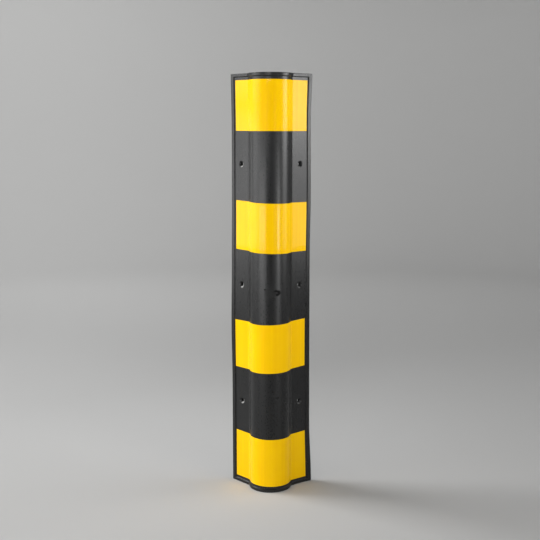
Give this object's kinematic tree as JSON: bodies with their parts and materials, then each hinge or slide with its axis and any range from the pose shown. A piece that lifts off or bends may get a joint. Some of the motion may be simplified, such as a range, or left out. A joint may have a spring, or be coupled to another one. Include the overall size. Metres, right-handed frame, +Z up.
{
  "type": "rubber corner guard",
  "caption": "Right-angled rubber guard for a wall or pillar corner, with a rounded hollow nose, raised rims, countersunk screw holes and bonded yellow reflective film bands.",
  "frame": {"origin": "where the outside corner of the wall meets the plane of the guard's lower end", "axes": "+Z up along the wall's corner; +X along the wall face that one flange lies on, +Y along the other; the nose points to -X -Y"},
  "size_m": [0.119, 0.119, 0.8],
  "materials": {
    "black_rubber": "moulded, satin, slightly dusty",
    "reflective_film": "smooth glossy yellow film"
  },
  "bodies": {
    "root": {"guard_body": "black_rubber", "reflective_film_1": "reflective_film", "reflective_film_2": "reflective_film", "reflective_film_3": "reflective_film", "reflective_film_4": "reflective_film"}
  },
  "joints": []
}
